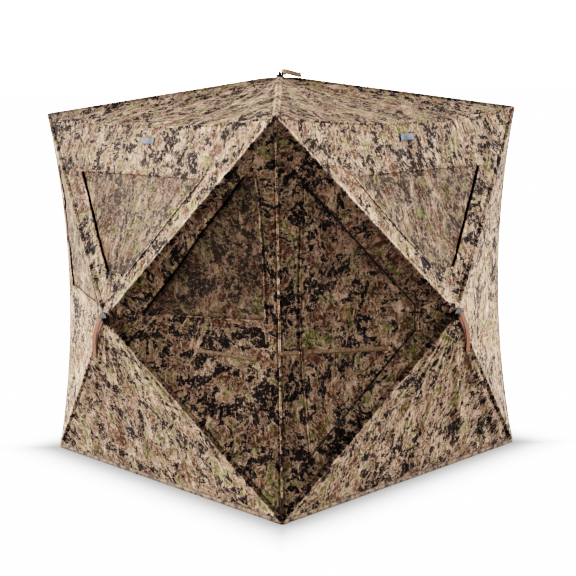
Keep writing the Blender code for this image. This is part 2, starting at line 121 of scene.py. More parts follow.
class Panel:
    """One wall or the roof, with its hub point and its across, up and out axes."""

    def __init__(self, name):
        self.name = name
        self.roof = name == "roof"
        if self.roof:
            self.across, self.up, self.out = Vector((1, 0, 0)), Vector((0, 1, 0)), Vector((0, 0, 1))
            self.foot, self.apex = Vector((0, 0, 0)), ROOF_APEX
        else:
            turn = math.radians(WALL_FACING[name])
            self.out = Vector((round(math.cos(turn)), round(math.sin(turn)), 0))
            self.across = Vector((0, 0, 1)).cross(self.out)
            self.up = Vector((0, 0, 1))
            self.foot, self.apex = Vector((0, 0, HUB_Z)), WALL_APEX
        self.seed = 3.7 * (list(WALL_FACING) + ["roof"]).index(name)

    def point(self, u, v, n):
        """A world point from across, up and out."""
        return self.foot + u * self.across + v * self.up + n * self.out

    def edge(self, side, e):
        """The outer edge of a side's cloth at e from -1 to 1, in across, up and out."""
        if self.roof:
            along = e * TOP_HALF
            far = TOP_HALF if side in ("top", "right") else -TOP_HALF
            u, v = (along, far) if side in ("top", "bottom") else (far, along)
            return Vector((u, v, eave_height(along)))
        if side == "top":
            return Vector((e * TOP_HALF, eave_height(e * TOP_HALF) - HUB_Z, TOP_HALF))
        if side == "bottom":
            half = half_side(FOOT)
            return Vector((e * half, FOOT - HUB_Z, half))
        z = FOOT + (CORNER_Z - FOOT) * (e + 1) / 2
        half = half_side(z)
        return Vector((half if side == "right" else -half, z - HUB_Z, half))

    def flat(self, side, e, s):
        """Across and up of the cloth at e along a side's edge and s from the hub, 0, to the edge, 1."""
        edge = self.edge(side, e)
        return s * edge.x, s * edge.y

    def where(self, side, u, v):
        """The e and s of a place given by across and up."""
        upright = side in ("top", "bottom")
        across, deep = (u, v) if upright else (v, u)
        if abs(deep) < 1e-7:
            return 0.0, 0.0
        e = 0.0
        for _ in range(12):
            edge = self.edge(side, e)
            far, near = (edge.y, edge.x) if upright else (edge.x, edge.y)
            want = across / deep * far
            if upright or self.roof:
                half = TOP_HALF if (self.roof or side == "top") else half_side(FOOT)
                e = want / half
            else:
                e = 2 * (want + HUB_Z - FOOT) / (CORNER_Z - FOOT) - 1
        edge = self.edge(side, e)
        return e, deep / (edge.y if upright else edge.x)

    def ripple(self, side, e, s, depth):
        """How far the cloth stands out from its straight-lined shape at a place."""
        if not 0 < s < 1.02 or abs(e) > 1:
            return 0.0
        u, v = self.flat(side, e, s)
        k = self.seed + 11.3 * SIDES.index(side)
        inner = smooth(1 - abs(e), 0.0, 0.16) * smooth(s, 0.04, 0.2) * smooth(1 - s, 0.0, 0.1)
        seam = smooth(1 - abs(e), 0.0, 0.03) * smooth(s, 0.04, 0.14) * smooth(1 - s, 0.0, 0.02)
        belly = -0.012 * (1 - e * e) * 4 * s * (1 - s)
        ray = noise.noise(Vector((e * 5.5 + k, s * 0.9, k)))
        ray2 = noise.noise(Vector((e * 13 + k, s * 1.6, k + 4.0)))
        pull = (1 - 2 * abs(ray)) * 0.0042 + (1 - 2 * abs(ray2)) * 0.0022
        pull *= 0.45 + 0.55 * s
        if side == "bottom":
            pull *= 1.7
        soft = noise.noise(Vector((u * 5, v * 5, k + 2))) * 0.0055
        fine = noise.noise(Vector((u * 17, v * 17, k + 7))) * 0.0017
        fine += noise.noise(Vector((u * 37, v * 37, k + 9))) * 0.0007
        pucker = noise.noise(Vector((s * 22, k + (1 if e > 0 else 5), 1.0))) * 0.0030
        pucker *= smooth(abs(e), 0.72, 0.97)
        hemline = noise.noise(Vector((e * 16, k + 8, 2.0))) * 0.0035 * smooth(s, 0.8, 0.97)
        return belly + depth * (inner * (pull + soft) + seam * (fine + pucker + hemline))

    def lift(self, side, u, v, raised=0.0, depth=1.0):
        """The world point on the cloth over a place, raised along the panel's out axis."""
        e, s = self.where(side, u, v)
        edge = self.edge(side, e)
        n = self.apex - s * (self.apex - edge.z)
        return self.point(u, v, n + self.ripple(side, e, s, depth) + raised)


PANELS = {name: Panel(name) for name in (*WALL_FACING, "roof")}


def window_outline(side):
    """A window's corners in across and up."""
    if side == "top":
        return TOP_WINDOW
    if side == "right":
        return SIDE_WINDOW
    return tuple((-u, v) for u, v in reversed(SIDE_WINDOW))


def grown(outline, amounts):
    """An outline moved out along each edge by its own amount."""
    count = len(outline)
    round_about = zip(outline, [*outline[1:], outline[0]])
    turn = 1 if sum(a[0] * b[1] - b[0] * a[1] for a, b in round_about) > 0 else -1
    lines = []
    for i in range(count):
        a, b = Vector(outline[i]), Vector(outline[(i + 1) % count])
        d = (b - a).normalized()
        n = Vector((d.y, -d.x)) * turn
        lines.append((a + n * amounts[i], d))
    moved = []
    for i in range(count):
        (p, d), (q, f) = lines[i - 1], lines[i]
        t = ((q.x - p.x) * f.y - (q.y - p.y) * f.x) / (d.x * f.y - d.y * f.x)
        moved.append(p + d * t)
    return moved


def inside(outline, x, y):
    """Whether a point is in an outline with only outward corners."""
    signs = []
    for i, a in enumerate(outline):
        b = outline[(i + 1) % len(outline)]
        signs.append((b[0] - a[0]) * (y - a[1]) - (b[1] - a[1]) * (x - a[0]) > 0)
    return all(signs) or not any(signs)


# Making pieces


def new_piece(name, bm, materials, ride=None):
    """A smooth-shaded object from a bmesh, in place, with its materials."""
    mesh = bpy.data.meshes.new(name)
    bm.to_mesh(mesh)
    bm.free()
    for made in materials:
        mesh.materials.append(made)
    mesh.shade_smooth()
    obj = bpy.data.objects.new(name, mesh)
    bpy.context.scene.collection.objects.link(obj)
    if ride:
        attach(obj, ride)
    return obj


def thicken(obj, thickness, offset=-1.0, inner=False):
    """Gives a sheet its thickness, with its second material on the inner face if asked."""
    modifier = obj.modifiers.new("Thickness", "SOLIDIFY")
    modifier.thickness = thickness
    modifier.offset = offset
    modifier.material_offset = 1 if inner else 0


def keep_place(bm, place):
    """Stores where each point of the flat cloth lies, for the print and the weave."""
    layer = bm.verts.layers.float_vector.new("cloth_at")
    for vert in bm.verts:
        vert[layer] = place(vert)


def ribbon(name, steps, rows, place, length, mats, ride=None, thickness=0.0012, closed=False, on=None):
    """A strip that follows place(t, q), t being 0 to 1 along it and q -1 to 1 across it."""
    bm = bmesh.new()
    bmesh.ops.create_grid(bm, x_segments=steps, y_segments=rows, size=1.0, calc_uvs=True)
    uv = bm.loops.layers.uv.active or bm.loops.layers.uv.new("UVMap")
    for face in bm.faces:
        for loop in face.loops:
            loop[uv].uv = ((loop.vert.co.x + 1) / 2 * length, (loop.vert.co.y + 1) / 2)
    for vert in bm.verts:
        vert.co = place((vert.co.x + 1) / 2, vert.co.y)
    if closed:
        bmesh.ops.remove_doubles(bm, verts=bm.verts, dist=1e-5)
    if on:

        def laid(vert):
            out = vert.co - on.foot
            return Vector((out.dot(on.across), out.dot(on.up), on.seed))

        keep_place(bm, laid)
    bm.normal_update()
    obj = new_piece(name, bm, mats, ride)
    if thickness:
        thicken(obj, thickness, offset=0.0)
    return obj


def facet_blend(obj, panel, side):
    """Bakes the piece's placement into its mesh; the facet's middle point and hub point are worked out but not
    used.
    """
    mid = panel.edge(side, 0.0)
    if side in ("left", "right") and not panel.roof:
        mid = Vector((math.copysign(half_side(HUB_Z), mid.x), 0, mid.z))
    start = panel.point(mid.x, mid.y, 0)
    hub = panel.point(0, 0, 0)
    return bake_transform(obj)


def cut(bm, outline, keep):
    """Scores an outline with straight sides into flat cloth and keeps or drops what is in it."""
    for i, a in enumerate(outline):
        b = outline[(i + 1) % len(outline)]
        d = Vector((b[0] - a[0], b[1] - a[1], 0)).normalized()
        middle = Vector(((a[0] + b[0]) / 2, (a[1] + b[1]) / 2, 0))
        reach = math.dist(a, b) / 2 + 0.03
        near = [f for f in bm.faces if abs((f.calc_center_median() - middle).dot(d)) < reach + 0.04]
        geom = near + list({e for f in near for e in f.edges}) + list({v for f in near for v in f.verts})
        bmesh.ops.bisect_plane(bm, geom=geom, dist=1e-6, plane_co=middle, plane_no=(-d.y, d.x, 0))
    drop = []
    for face in bm.faces:
        c = face.calc_center_median()
        if inside(outline, c.x, c.y) != keep:
            drop.append(face)
    bmesh.ops.delete(bm, geom=drop, context="FACES")


def flat_facet(panel, side, across, deep):
    """A facet's cloth laid flat in across and up, from the hub to its outer edge."""
    bm = bmesh.new()
    bmesh.ops.create_grid(bm, x_segments=across, y_segments=deep, size=1.0)
    for vert in bm.verts:
        e, s = vert.co.x, CLOTH_FROM + (1 - CLOTH_FROM) * (vert.co.y + 1) / 2
        vert.co = (*panel.flat(side, e, s), 0)
    if side in ("bottom", "right"):
        bmesh.ops.reverse_faces(bm, faces=bm.faces)
    return bm


def raise_cloth(bm, panel, side, raised, depth):
    """Lifts flat cloth onto the blind, keeping each point's flat place, and returns its area."""
    keep_place(bm, lambda vert: Vector((vert.co.x, vert.co.y, panel.seed)))
    for vert in bm.verts:
        vert.co = panel.lift(side, vert.co.x, vert.co.y, raised, depth)
    bm.normal_update()
    out = sum((f.normal * f.calc_area() for f in bm.faces), Vector())
    if out.dot(panel.out) < 0:
        bmesh.ops.reverse_faces(bm, faces=bm.faces)
    return sum(f.calc_area() for f in bm.faces)


# Materials


def linear(red, green, blue):
    """A display colour, 0 to 255, as the shader's linear colour."""
    return [((c / 255 + 0.055) / 1.055) ** 2.4 if c > 10 else c / 255 / 12.92 for c in (red, green, blue)]


class Nodes:
    """A material's node tree, built by short calls."""

    def __init__(self, name):
        self.material = bpy.data.materials.new(name)
        self.material.use_nodes = True
        self.tree = self.material.node_tree
        self.tree.nodes.clear()
        self.shader = self.tree.nodes.new("ShaderNodeBsdfPrincipled")
        out = self.tree.nodes.new("ShaderNodeOutputMaterial")
        self.tree.links.new(self.shader.outputs[0], out.inputs[0])

    def node(self, kind, settings=None, **inputs):
        made = self.tree.nodes.new(kind)
        for key, value in (settings or {}).items():
            setattr(made, key, value)
        for key, value in inputs.items():
            self.put(made.inputs[key.replace("_", " ")], value)
        return made

    def put(self, socket, value):
        if isinstance(value, bpy.types.NodeSocket):
            self.tree.links.new(value, socket)
        else:
            socket.default_value = value

    def attribute(self, name):
        return self.node("ShaderNodeAttribute", {"attribute_name": name}).outputs["Vector"]

    def object(self):
        return self.node("ShaderNodeTexCoord").outputs["Object"]

    def uv(self):
        return self.node("ShaderNodeUVMap", {"uv_map": "UVMap"}).outputs["UV"]

    def mapped(self, vector, place=(0, 0, 0), turn=(0, 0, 0), size=(1, 1, 1)):
        made = self.node("ShaderNodeMapping", None, Vector=vector, Location=place, Rotation=turn, Scale=size)
        return made.outputs[0]

    def noise(self, vector, scale, detail=3.0, rough=0.5, bend=0.0, colour=False):
        made = self.node("ShaderNodeTexNoise", None, Vector=vector, Scale=scale, Detail=detail, Roughness=rough)
        made.inputs["Distortion"].default_value = bend
        return made.outputs["Color" if colour else "Fac"]

    def wave(self, vector, scale, direction="X"):
        made = self.node("ShaderNodeTexWave", {"bands_direction": direction}, Vector=vector, Scale=scale)
        return made.outputs["Fac"]

    def step(self, value, low, high, start=0.0, end=1.0):
        made = self.node("ShaderNodeMapRange", {"interpolation_type": "SMOOTHSTEP"}, Value=value)
        for name, number in (("From Min", low), ("From Max", high), ("To Min", start), ("To Max", end)):
            made.inputs[name].default_value = number
        return made.outputs[0]

    def math(self, kind, a, b=0.0):
        made = self.node("ShaderNodeMath", {"operation": kind})
        self.put(made.inputs[0], a)
        self.put(made.inputs[1], b)
        return made.outputs[0]

    def mix(self, share, a, b, how="MIX"):
        made = self.node("ShaderNodeMix", {"data_type": "RGBA", "blend_type": how})
        self.put(made.inputs[0], share)
        for socket, value in ((made.inputs[6], a), (made.inputs[7], b)):
            self.put(socket, value if isinstance(value, bpy.types.NodeSocket) else (*value[:3], 1.0))
        return made.outputs[2]

    def add(self, a, b):
        made = self.node("ShaderNodeVectorMath", {"operation": "ADD"})
        self.put(made.inputs[0], a)
        self.put(made.inputs[1], b)
        return made.outputs[0]

    def scaled(self, vector, by):
        made = self.node("ShaderNodeVectorMath", {"operation": "SCALE"})
        self.put(made.inputs[0], vector)
        self.put(made.inputs["Scale"], by)
        return made.outputs[0]

    def bump(self, height, distance, strength=1.0, normal=None):
        made = self.node("ShaderNodeBump", None, Height=height, Distance=distance, Strength=strength)
        if normal is not None:
            self.put(made.inputs["Normal"], normal)
        return made.outputs[0]

    def finish(self, colour, rough, normal=None, **fixed):
        plain = not isinstance(colour, bpy.types.NodeSocket)
        self.put(self.shader.inputs["Base Color"], (*colour[:3], 1.0) if plain else colour)
        self.put(self.shader.inputs["Roughness"], rough)
        if normal is not None:
            self.put(self.shader.inputs["Normal"], normal)
        for name, value in fixed.items():
            self.shader.inputs[name.replace("_", " ")].default_value = value
        return self.material


def weave(n, at, pitch):
    """The height of a plain weave with that pitch, from the cloth's own place."""
    k = 2 * math.pi / (20 * pitch)
    over = n.wave(at, k, "X")
    under = n.wave(at, k, "Y")
    return n.math("MULTIPLY", over, under)


def printed_cloth(name, colours, shade, contrast, stitched=False):
    """Woven cloth with a generic leaf and grass camouflage print, creased from its bag."""
    n = Nodes(name)
    at = n.attribute("cloth_at")
    swirl = n.add(at, n.scaled(n.noise(at, 3.6, 2.0, colour=True), 0.16))
    bent = n.add(swirl, n.scaled(n.noise(at, 19.0, 3.0, 0.6, colour=True), 0.030))
    # pale ground with warm and cool streaks
    ground = n.mix(n.step(n.noise(bent, 11.0, 6.0, 0.68), 0.42, 0.60), colours["pale"], colours["tan"])
    wisps = n.noise(n.mapped(swirl, turn=(0, 0, 0.45), size=(30, 8, 1)), 2.6, 6.0, 0.66, 0.5)
    ground = n.mix(n.step(wisps, 0.47, 0.62, 0.0, 0.80), ground, colours["rust"])
    bark = n.mapped(swirl, place=(3, 1, 0), turn=(0, 0, -0.6), size=(26, 7, 1))
    wisps = n.noise(bark, 2.6, 6.0, 0.66, 0.6)
    ground = n.mix(n.step(wisps, 0.53, 0.66, 0.0, 0.75), ground, colours["brown"])
    # soft greens
    green = n.step(n.noise(n.mapped(bent, place=(7, 2, 1)), 13.5, 6.0, 0.70), 0.492, 0.532)
    leafy = n.mix(n.step(n.noise(bent, 46.0, 4.0, 0.65), 0.42, 0.58), colours["olive"], colours["green"])
    ground = n.mix(n.math("MULTIPLY", green, 0.90), ground, leafy)
    # brown patches with torn edges
    patch = n.noise(n.mapped(bent, place=(2, 9, 3), size=(1, 0.8, 1)), 15.0, 9.0, 0.72, 0.3)
    ground = n.mix(n.step(patch, 0.498, 0.520, 0.0, 0.92), ground, colours["brown"])
    # near-black jagged patches in clusters, with pale torn rims
    crowd = n.step(n.noise(n.mapped(at, place=(1, 4, 8)), 5.5, 2.0), 0.32, 0.64, -0.030, 0.050)
    dark = n.noise(n.mapped(bent, place=(5, 5, 5), size=(1, 0.9, 1)), 25.0, 10.0, 0.74, 0.35)
    dark = n.math("ADD", dark, crowd)
    ground = n.mix(n.step(dark, 0.486, 0.508, 0.0, 0.75), ground, colours["pale"])
    ground = n.mix(n.step(dark, 0.522, 0.533, 0.0, contrast), ground, colours["night"])
    # thin stems, pale and dark
    stems = n.noise(n.mapped(swirl, place=(8, 3, 0), turn=(0, 0, 0.2), size=(58, 11, 1)), 2.4, 6.0, 0.68, 0.8)
    ground = n.mix(n.step(stems, 0.60, 0.64, 0.0, 0.85 * contrast), ground, colours["night"])
    straw = n.mapped(swirl, place=(1, 6, 2), turn=(0, 0, -0.3), size=(48, 10, 1))
    straw = n.noise(straw, 2.4, 6.0, 0.68, 0.8)
    ground = n.mix(n.step(straw, 0.595, 0.650, 0.0, 0.9), ground, colours["pale"])
    flecks = n.noise(at, 85.0, 4.0, 0.7)
    ground = n.mix(n.step(flecks, 0.56, 0.63, 0.0, 0.75), ground, colours["pale"])
    ground = n.mix(n.step(flecks, 0.42, 0.34, 0.0, 0.55), ground, colours["night"])
    # worn, dusty and unevenly printed, then multiplied by shade; on the window covers, at 0.62, this is painted
    # shade for the shade they sit in behind the cloth
    dust = n.step(n.noise(at, 2.2, 4.0, 0.55), 0.3, 0.75, 0.90, 1.06)
    tone = n.node("ShaderNodeCombineColor")
    for socket in tone.inputs[:3]:
        n.put(socket, n.math("MULTIPLY", dust, shade))
    ground = n.mix(1.0, ground, tone.outputs[0], "MULTIPLY")
    creases = n.noise(n.mapped(at, turn=(0, 0, 0.3), size=(1, 0.5, 1)), 16.0, 4.0, 0.55, 0.9)
    creases = n.math("ABSOLUTE", n.math("SUBTRACT", creases, 0.5))
    normal = n.bump(creases, 0.026, 0.62)
    if stitched:
        thread = lock_stitch(n, 0.0042, (0.14, 0.86), 0.05)
        ground = n.mix(n.math("MULTIPLY", thread, 0.8), ground, colours["brown"])
        normal = n.bump(thread, 0.0006, -0.8, normal)
    normal = n.bump(weave(n, at, 0.0011), 0.00035, 0.5, normal)
    rough = n.step(flecks, 0.3, 0.7, 0.80, 0.93)
    return n.finish(ground, rough, normal, Specular_IOR_Level=0.10)


def lock_stitch(n, pitch, rows, width):
    """Rows of stitches along a strip, from its UV map in metres along and 0 to 1 across."""
    parts = n.node("ShaderNodeSeparateXYZ", None, Vector=n.uv())
    beat = n.node("ShaderNodeMath", {"operation": "SINE"})
    n.put(beat.inputs[0], n.math("MULTIPLY", parts.outputs[0], 2 * math.pi / pitch))
    lines = None
    for row in rows:
        near = n.step(n.math("ABSOLUTE", n.math("SUBTRACT", parts.outputs[1], row)), width, width * 0.55)
        lines = near if lines is None else n.math("MAXIMUM", lines, near)
    return n.math("MULTIPLY", n.step(beat.outputs[0], -0.35, 0.05), lines)


def coated_back(name, colour):
    """The black coating on the cloth's inner face."""
    n = Nodes(name)
    at = n.attribute("cloth_at")
    cloud = n.noise(at, 14.0, 4.0, 0.6)
    tone = n.mix(n.step(cloud, 0.35, 0.7), colour, [c * 2.2 + 0.004 for c in colour])
    normal = n.bump(weave(n, at, 0.0011), 0.0003, 0.4, n.bump(cloud, 0.006, 0.3))
    return n.finish(tone, n.step(cloud, 0.3, 0.7, 0.62, 0.8), normal, Specular_IOR_Level=0.3)


def taped(name, colour, darker, stitch, pitch=0.0042, rows=(0.2, 0.8), grain=60.0):
    """Woven tape with rows of lock stitches along it, from its UV map in metres along and 0 to 1 across."""
    n = Nodes(name)
    uv = n.uv()
    parts = n.node("ShaderNodeSeparateXYZ", None, Vector=uv)
    along = parts.outputs[0]
    worn = n.noise(n.object(), grain, 5.0, 0.65)
    base = n.mix(n.step(worn, 0.38, 0.66), colour, darker)
    ribs = n.node("ShaderNodeMath", {"operation": "SINE"})
    n.put(ribs.inputs[0], n.math("MULTIPLY", along, 2 * math.pi / 0.0016))
    thread = lock_stitch(n, pitch, rows, 0.055)
    base = n.mix(thread, base, stitch)
    normal = n.bump(ribs.outputs[0], 0.0002, 0.35)
    normal = n.bump(thread, 0.0005, 0.7, normal)
    return n.finish(base, n.step(worn, 0.3, 0.7, 0.72, 0.9), normal, Specular_IOR_Level=0.3)


def webbing(name, colour, darker, lighter):
    """Narrow woven webbing with a herringbone face, a selvedge and slightly furred edges."""
    n = Nodes(name)
    uv = n.uv()
    parts = n.node("ShaderNodeSeparateXYZ", None, Vector=uv)
    along, over = parts.outputs[0], parts.outputs[1]
    side = n.math("ABSOLUTE", n.math("SUBTRACT", over, 0.5))
    slant = n.math("ADD", n.math("MULTIPLY", along, 2 * math.pi / 0.0026), n.math("MULTIPLY", side, 26.0))
    twill = n.node("ShaderNodeMath", {"operation": "SINE"})
    n.put(twill.inputs[0], slant)
    height = n.step(twill.outputs[0], -0.8, 0.8)
    edge = n.step(side, 0.40, 0.47)
    soil = n.noise(n.object(), 45.0, 5.0, 0.65)
    base = n.mix(height, darker, colour)
    base = n.mix(n.math("MULTIPLY", edge, 0.35), base, darker)
    base = n.mix(n.step(soil, 0.50, 0.75, 0.0, 0.5), base, lighter)
    normal = n.bump(height, 0.0006, 0.6)
    return n.finish(base, n.step(soil, 0.3, 0.7, 0.68, 0.86), normal, Specular_IOR_Level=0.35)


def moulded(name, colour, scale=260.0, rough=(0.38, 0.55), metal=0.0):
    """Moulded plastic or painted metal with a fine grain, scuffs and paler worn spots."""
    n = Nodes(name)
    at = n.object()
    grain = n.noise(at, scale, 4.0, 0.6)
    scuff = n.noise(n.mapped(at, size=(1, 1, 6)), 22.0, 6.0, 0.7)
    base = n.mix(n.step(scuff, 0.58, 0.74, 0.0, 0.7), colour, [c * 2.6 + 0.012 for c in colour])
    normal = n.bump(grain, 0.0004, 0.35)
    return n.finish(base, n.step(scuff, 0.35, 0.7, *rough), normal, Metallic=metal, Specular_IOR_Level=0.45)


def rod_glass(name, colour):
    """Drawn glass fibre rod: dark resin with fine fibres along it and rubbed, paler bands."""
    n = Nodes(name)
    at = n.object()
    fibres = n.noise(n.mapped(at, size=(1, 1, 1)), 420.0, 3.0, 0.6, 1.0)
    rubbed = n.noise(at, 11.0, 4.0, 0.6)
    base = n.mix(n.step(rubbed, 0.52, 0.72, 0.0, 0.8), colour, [c * 3 + 0.02 for c in colour])
    base = n.mix(n.step(fibres, 0.45, 0.7, 0.0, 0.4), base, [c * 2 + 0.01 for c in colour])
    rough = n.step(rubbed, 0.3, 0.7, 0.26, 0.46)
    return n.finish(base, rough, n.bump(fibres, 0.0003, 0.4), Specular_IOR_Level=0.5)


# Settings that a user would change


COLOUR = {"subtype": "COLOR", "size": 3}


class BlindCloth(bpy.types.PropertyGroup):
    pale: bpy.props.FloatVectorProperty(
        name="Pale", description="Straw colour of the print", default=linear(218, 184, 158), **COLOUR
    )
    tan: bpy.props.FloatVectorProperty(
        name="Tan", description="Ground colour of the print", default=linear(160, 124, 98), **COLOUR
    )
    rust: bpy.props.FloatVectorProperty(
        name="Rust", description="Warm streaks", default=linear(118, 73, 52), **COLOUR
    )
    brown: bpy.props.FloatVectorProperty(
        name="Brown", description="Bark patches", default=linear(92, 60, 46), **COLOUR
    )
    olive: bpy.props.FloatVectorProperty(
        name="Olive", description="Dark leaves", default=linear(72, 78, 32), **COLOUR
    )
    green: bpy.props.FloatVectorProperty(
        name="Green", description="Light leaves", default=linear(136, 136, 84), **COLOUR
    )
    night: bpy.props.FloatVectorProperty(
        name="Shadow", description="Near-black patches", default=linear(14, 13, 18), **COLOUR
    )
    back: bpy.props.FloatVectorProperty(
        name="Inner coating", description="Inner face of the cloth", default=linear(20, 20, 22), **COLOUR
    )
    ripple: bpy.props.FloatProperty(
        name="Wrinkles", description="Depth of the wrinkles against their usual depth",
        default=1.25, min=0, max=2
    )
    thickness: bpy.props.FloatProperty(
        name="Thickness", description="Cloth thickness", default=0.0012, subtype="DISTANCE"
    )


class BlindTrim(bpy.types.PropertyGroup):
    seam_width: bpy.props.FloatProperty(
        name="Seam width", description="Tape over the poles", default=0.026, subtype="DISTANCE"
    )
    zip_width: bpy.props.FloatProperty(
        name="Zip width", description="Zip coil and its tape", default=0.004, subtype="DISTANCE"
    )
    strap_width: bpy.props.FloatProperty(
        name="Strap width", description="Width of the pull straps", default=0.025, subtype="DISTANCE"
    )
    wall_strap: bpy.props.FloatProperty(
        name="Wall strap", description="Length of a wall's pull strap", default=0.148, subtype="DISTANCE"
    )
    roof_strap: bpy.props.FloatProperty(
        name="Roof strap", description="Length of the roof's pull strap", default=0.093, subtype="DISTANCE"
    )
    strap_brown: bpy.props.FloatVectorProperty(
        name="Strap brown", description="Wall straps", default=linear(138, 78, 44), **COLOUR
    )
    strap_tan: bpy.props.FloatVectorProperty(
        name="Strap tan", description="Roof strap", default=linear(240, 186, 148), **COLOUR
    )
    label: bpy.props.FloatVectorProperty(
        name="Label", description="Plain woven labels", default=linear(112, 116, 126), **COLOUR
    )


class BlindStage(bpy.types.PropertyGroup):
    floor: bpy.props.FloatVectorProperty(
        name="Floor", description="Floor colour", default=(0.20, 0.20, 0.20), **COLOUR
    )
    floor_glow: bpy.props.FloatProperty(
        name="Floor glow", description="How far the floor is washed out", default=8.0, min=0
    )
    left_light: bpy.props.FloatProperty(
        name="Left light", description="Strength of the left soft light", default=11.5, min=0
    )
    right_light: bpy.props.FloatProperty(
        name="Right light", description="Strength of the right soft light", default=9.5, min=0
    )
    sky: bpy.props.FloatProperty(
        name="Fill", description="Strength of the even fill light", default=0.055, min=0
    )


MATERIALS = {}


def materials():
    """The finishes, made once."""
    if MATERIALS:
        return MATERIALS
    c, t = bpy.context.scene.blind_cloth, bpy.context.scene.blind_trim
    shades = ("pale", "tan", "rust", "brown", "olive", "green", "night")
    colours = {k: list(getattr(c, k)) for k in shades}
    brown, tan = list(t.strap_brown), list(t.strap_tan)
    MATERIALS["camo"] = printed_cloth("camouflage_cloth", colours, 1.0, 0.97)
    MATERIALS["camo_tape"] = printed_cloth("camouflage_tape", colours, 0.95, 0.97, stitched=True)
    # painted highlight: the band's pale tan stands for light along a raised fold of the printed cloth
    MATERIALS["band"] = taped(
        "band_tape", linear(172, 142, 112), linear(120, 92, 70), linear(96, 72, 56), grain=90.0
    )
    # painted shade: the covers' print is darkened for the shade they sit in behind the wall cloth
    MATERIALS["cover"] = printed_cloth("window_cover_cloth", colours, 0.62, 0.85)
    MATERIALS["back"] = coated_back("black_coating", list(c.back))
    MATERIALS["hem"] = taped(
        "hem_tape", linear(150, 120, 94), linear(40, 34, 34), linear(46, 38, 36), 0.006, (0.35, 0.65), 42.0
    )
    MATERIALS["zip"] = taped(
        "zip_coil", linear(52, 44, 40), linear(30, 27, 27), linear(96, 84, 76), 0.0022, (0.5,)
    )
    MATERIALS["boot"] = taped(
        "corner_boot", linear(74, 50, 40), linear(40, 30, 30), linear(150, 120, 96), 0.005, (0.1, 0.9)
    )
    MATERIALS["strap"] = webbing("brown_webbing", brown, [x * 0.45 for x in brown], linear(176, 112, 72))
    MATERIALS["roof_strap"] = webbing("tan_webbing", tan, [x * 0.72 for x in tan], linear(246, 208, 178))
    MATERIALS["label"] = webbing(
        "woven_label", list(t.label), [x * 0.7 for x in t.label], linear(140, 146, 156)
    )
    MATERIALS["rod"] = rod_glass("fibreglass_rod", linear(30, 29, 28))
    MATERIALS["plastic"] = moulded("hub_plastic", linear(26, 26, 28))
    MATERIALS["metal"] = moulded("slider_metal", linear(58, 56, 56), 500.0, (0.28, 0.42), 0.85)
    return MATERIALS


# Operators


class MakeCloth(bpy.types.Operator):
    """The four printed cloth facets of each wall and of the roof"""

    bl_idname = "blind.cloth"
    bl_label = "Cloth panels"

    def execute(self, context):
        m, c = materials(), context.scene.blind_cloth
        for name, panel in PANELS.items():
            for side in SIDES:
                bm = flat_facet(panel, side, 64, 44)
                if side in WINDOWS.get(name, ()):
                    cut(bm, window_outline(side), keep=False)
                door = (name, side) == ("right", "left")
                if door:
                    cut(bm, DOOR, keep=False)
                area = raise_cloth(bm, panel, side, 0.0, c.ripple)
                obj = new_piece(f"{name}_{side}_cloth", bm, (m["camo"], m["back"]))
                thicken(obj, c.thickness, inner=True)
                facet_blend(obj, panel, side)
                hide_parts(f"{name}_facet_{side}", "fabric_border")
                area = round(area * SEWN_IN, 3)
        return {"FINISHED"}


class MakeWindows(bpy.types.Operator):
    """The drop-down window covers, and the dark binding round each opening"""

    bl_idname = "blind.windows"
    bl_label = "Window covers"

    def execute(self, context):
        m, c = materials(), context.scene.blind_cloth
        for name, sides in WINDOWS.items():
            panel = PANELS[name]
            for side in sides:
                outline = window_outline(side)
                edges = COVER_EDGES.get((name, side), COVER_TUCKED)
                bm = flat_facet(panel, side, 72, 52)
                cut(bm, grown(outline, edges), keep=True)
                area = raise_cloth(bm, panel, side, -COVER_BEHIND, c.ripple)
                faces = (m["cover"], m["back"])
                obj = new_piece(f"{name}_{side}_window_cover", bm, faces, f"{name}_window_{side}")
                thicken(obj, c.thickness, inner=True)
                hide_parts(f"{name}_window_{side}")
                wide, tall = ((max(p[i] for p in outline) - min(p[i] for p in outline)) for i in (0, 1))
                area = round(min(area, (wide + 0.024) * (tall + 0.05)), 3)
                self.bind(panel, side, outline, m["camo_tape"])
        return {"FINISHED"}

    def bind(self, panel, side, outline, finish):
        """A narrow folded binding on the opening's edge, mitred at its corners."""
        outer, inner = grown(outline, (0.0085,) * len(outline)), grown(outline, (-0.0008,) * len(outline))
        edge_run(f"{panel.name}_{side}_window_binding", panel, side, outer, inner, 0.0012, finish)


def edge_run(name, panel, side, outer, inner, raised, finish, closed=True, thickness=0.0014, steps=26):
    """A strip round an outline on the cloth, between an outer and an inner line."""
    count = len(outer) if closed else len(outer) - 1
    lengths = [(Vector(outer[(i + 1) % len(outer)]) - Vector(outer[i])).length for i in range(count)]

    def place(t, q):
        x = min(t * count, count - 1e-9)
        i, f = int(x), x - int(x)
        j = (i + 1) % len(outer)
        far = Vector(outer[i]).lerp(Vector(outer[j]), f)
        near = Vector(inner[i]).lerp(Vector(inner[j]), f)
        at = near.lerp(far, (q + 1) / 2)
        return panel.lift(side, at.x, at.y, raised + 0.0012 * (1 - q * q))

    obj = ribbon(name, steps * count, 4, place, sum(lengths), [finish], None, thickness, closed, panel)
    facet_blend(obj, panel, side)
    return obj


